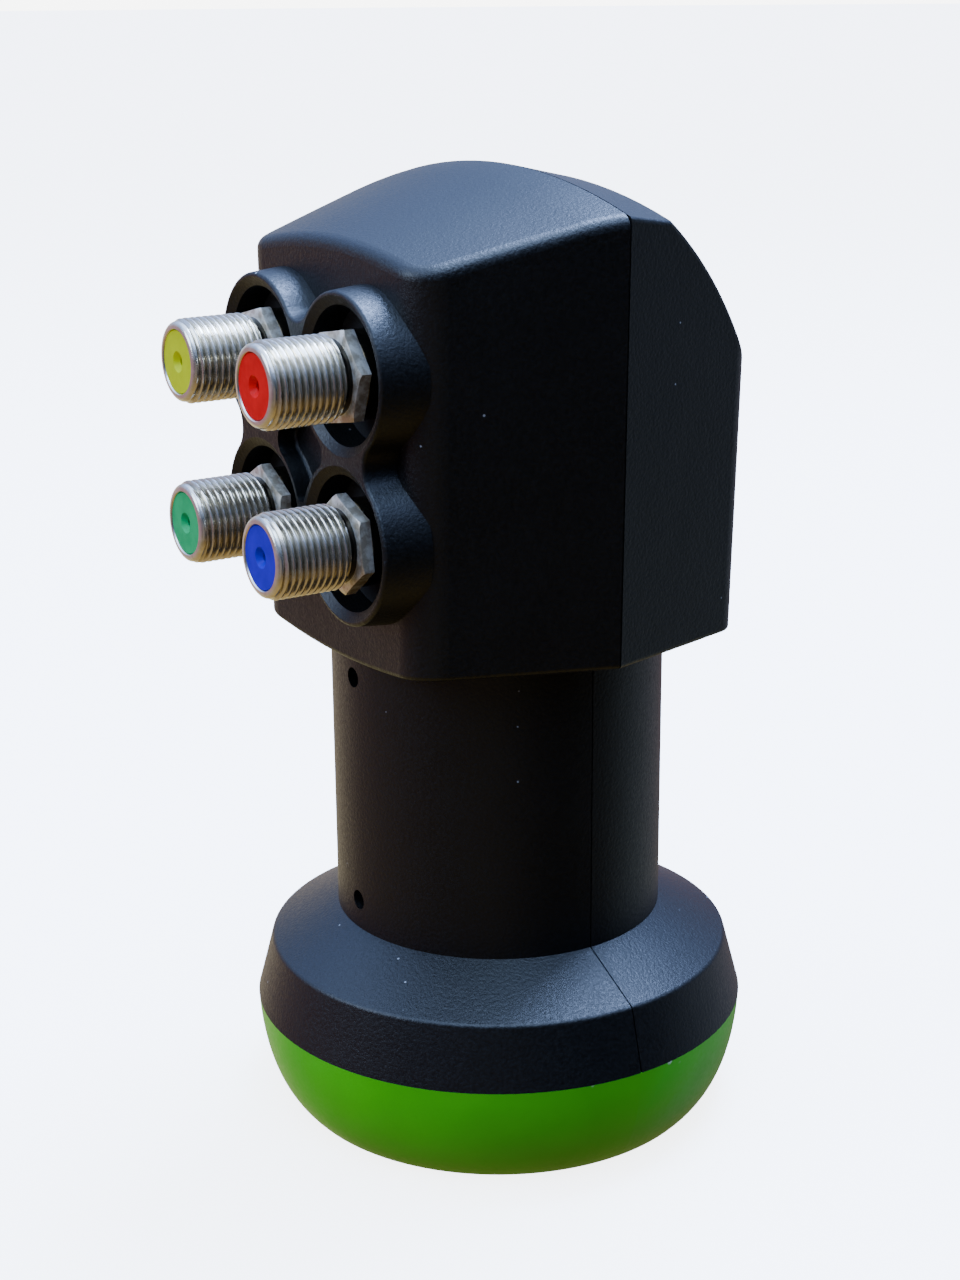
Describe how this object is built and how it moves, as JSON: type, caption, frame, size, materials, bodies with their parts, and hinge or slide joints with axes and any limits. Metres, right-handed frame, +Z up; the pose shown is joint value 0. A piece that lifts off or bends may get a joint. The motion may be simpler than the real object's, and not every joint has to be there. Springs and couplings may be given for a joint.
{
  "type": "satellite lnb",
  "caption": "Satellite dish receiver head with a clamp neck, a weather cap over its feed horn and a cluster of threaded coaxial outputs on the front.",
  "frame": {"origin": "middle of the cap's flat face", "axes": "+Z up along the feed axis, -Y towards the outputs, +X to the right seen from the outputs' side"},
  "size_m": [0.0606, 0.0664, 0.1144],
  "materials": {
    "black_shell": "fine moulded texture",
    "green_cap": "smooth moulded",
    "nickel": "nickel plated",
    "insulator_yellow": "smooth moulded",
    "insulator_red": "smooth moulded",
    "insulator_green": "smooth moulded",
    "insulator_blue": "smooth moulded",
    "contact_brass": "plain",
    "die_cast": "as cast",
    "board": "solder resist",
    "chip_black": "moulded",
    "resonator_ceramic": "fired",
    "seal_rubber": "moulded",
    "sleeve_white": "turned",
    "screw_steel": "zinc plated"
  },
  "bodies": {
    "root": {"front_shell": "black_shell", "rear_shell": "black_shell", "feed_cap": "green_cap", "cap_seal": "seal_rubber", "chassis_casting": "die_cast", "chassis_cover": "die_cast", "circuit_board": "board", "cover_screws": "screw_steel", "tuning_screws": "contact_brass", "resonator_upper": "resonator_ceramic", "resonator_lower": "resonator_ceramic", "switch_chip": "chip_black", "voltage_regulator": "chip_black", "vertical_probe": "contact_brass", "horizontal_probe": "contact_brass", "vertical_probe_sleeve": "sleeve_white", "plate_sleeve": "sleeve_white", "tube_sleeve": "sleeve_white", "isolation_pin": "screw_steel", "connector_upper_left": "nickel", "insulator_upper_left": "insulator_yellow", "contact_upper_left": "contact_brass", "seal_upper_left": "seal_rubber", "connector_upper_right": "nickel", "insulator_upper_right": "insulator_red", "contact_upper_right": "contact_brass", "seal_upper_right": "seal_rubber", "connector_lower_left": "nickel", "insulator_lower_left": "insulator_green", "contact_lower_left": "contact_brass", "seal_lower_left": "seal_rubber", "connector_lower_right": "nickel", "insulator_lower_right": "insulator_blue", "contact_lower_right": "contact_brass", "seal_lower_right": "seal_rubber"}
  },
  "joints": []
}
